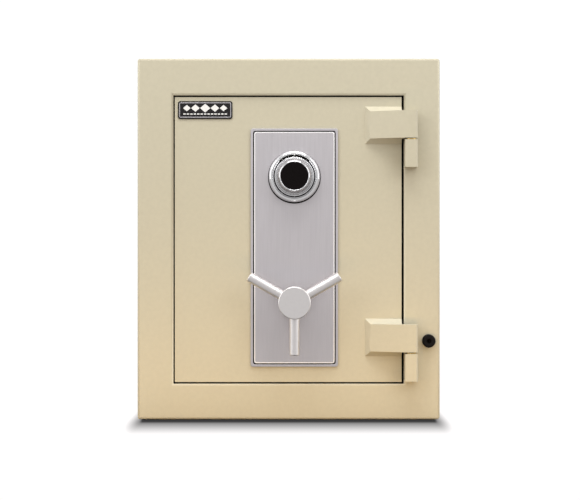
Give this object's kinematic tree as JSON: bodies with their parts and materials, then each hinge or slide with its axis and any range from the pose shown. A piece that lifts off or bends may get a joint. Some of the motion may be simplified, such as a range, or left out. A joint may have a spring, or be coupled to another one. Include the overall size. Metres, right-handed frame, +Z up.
{
  "type": "fire and burglary safe",
  "caption": "Floor-standing composite fire safe with combination dial, spoked handle, exterior hinges, live boltwork, relocker and a shelf inside.",
  "frame": {"origin": "middle of the underside, on the floor", "axes": "+X to the right seen from the front, towards the hinges; -Y out of the front; +Z up"},
  "size_m": [0.527, 0.595, 0.629],
  "materials": {
    "paint": "fine textured satin enamel, parchment cream",
    "liner_paint": "light grey satin enamel",
    "concrete": "rough cast concrete",
    "steel": "machined bright steel",
    "dark_steel": "dark oxide steel",
    "stainless": "vertical brushed grain",
    "handle_metal": "satin cast metal",
    "chrome": "polished",
    "plate_black": "gloss black",
    "insert_black": "matte black",
    "rubber": "matte black rubber",
    "seal": "graphite intumescent strip",
    "brass": "turned brass"
  },
  "bodies": {
    "body": {"front_frame": "paint", "outer_shell": "paint", "floor_plate": "paint", "back_plate": "paint", "door_jamb": "paint", "inner_liner": "liner_paint", "concrete_fill": "concrete", "anchor_sleeve": "steel", "shelf": "liner_paint", "shelf_brackets": "liner_paint", "door_bumper": "rubber", "bumper_screw": "chrome", "frame_knuckle_upper": "paint", "frame_knuckle_lower": "paint", "hinge_pin_upper": "steel", "hinge_pin_lower": "steel", "hinge_washer_upper": "brass", "hinge_washer_lower": "brass"},
    "door": {"door_plate": "paint", "hinge_leaf_upper": "paint", "hinge_leaf_lower": "paint", "nameplate": "plate_black", "nameplate_border": "chrome", "escutcheon_gasket": "seal", "escutcheon_frame": "stainless", "escutcheon_plate": "stainless", "dial_ring": "chrome", "dial_ring_screws": "steel", "door_seal": "seal", "door_pan": "liner_paint", "door_fill": "concrete", "hardplate": "dark_steel", "spindle_tube": "steel", "handle_bushing": "brass", "lock_case": "steel", "lock_cover": "steel", "lock_screws": "dark_steel", "bolt_frame": "liner_paint", "dead_bolts": "steel", "guide_posts": "steel", "back_cover": "liner_paint", "cover_screws": "chrome", "relocker_housing": "steel"},
    "bolt_carriage": {"bolt_bar": "dark_steel", "locking_bolts": "steel", "bolt_screws": "dark_steel"},
    "handle": {"handle_hub": "handle_metal", "handle_spokes": "handle_metal", "handle_shaft": "steel", "handle_cam": "dark_steel", "cam_pin": "steel"},
    "dial_wheel": {"dial": "chrome", "dial_insert": "insert_black", "dial_spindle": "steel", "drive_cam": "brass"},
    "wheel_a": {"wheel_1": "brass"},
    "wheel_b": {"wheel_2": "brass"},
    "wheel_c": {"wheel_3": "brass"},
    "lock_bolt_body": {"lock_bolt": "brass", "lock_lever": "steel"},
    "relocker": {"relock_pin": "dark_steel"}
  },
  "joints": [
    {"name": "door_swing", "type": "hinge", "parent": "body", "child": "door", "pos_m": [0.212, -0.2845, 0.3025], "axis": [0, 0, 1], "range_deg": [0, 172]},
    {"name": "handle_turn", "type": "hinge", "parent": "door", "child": "handle", "pos_m": [0.01, -0.308, 0.205], "axis": [0, -1, 0], "range_deg": [0, 90]},
    {"name": "bolt_throw", "type": "slide", "parent": "door", "child": "bolt_carriage", "axis": [-1, 0, 0], "range_m": [0, 0.03175]},
    {"name": "dial_turn", "type": "hinge", "parent": "door", "child": "dial_wheel", "pos_m": [0.01, -0.28, 0.423], "axis": [0, 1, 0], "continuous": true},
    {"name": "wheel_a_turn", "type": "hinge", "parent": "door", "child": "wheel_a", "pos_m": [0.01, -0.19, 0.423], "axis": [0, 1, 0], "continuous": true},
    {"name": "wheel_b_turn", "type": "hinge", "parent": "door", "child": "wheel_b", "pos_m": [0.01, -0.185, 0.423], "axis": [0, 1, 0], "continuous": true},
    {"name": "wheel_c_turn", "type": "hinge", "parent": "door", "child": "wheel_c", "pos_m": [0.01, -0.18, 0.423], "axis": [0, 1, 0], "continuous": true},
    {"name": "lock_bolt_slide", "type": "slide", "parent": "door", "child": "lock_bolt_body", "axis": [0, 0, -1], "range_m": [0, 0.0095]},
    {"name": "relock_fire", "type": "slide", "parent": "door", "child": "relocker", "axis": [0, 1, 0], "range_m": [0, 0.012]}
  ],
  "couplings": [
    {"joint": "bolt_throw", "follows": "handle_turn", "m_per_rad": 0.020213},
    {"joint": "wheel_a_turn", "follows": "dial_turn", "ratio": 1},
    {"joint": "wheel_b_turn", "follows": "dial_turn", "ratio": 1},
    {"joint": "wheel_c_turn", "follows": "dial_turn", "ratio": 1}
  ]
}
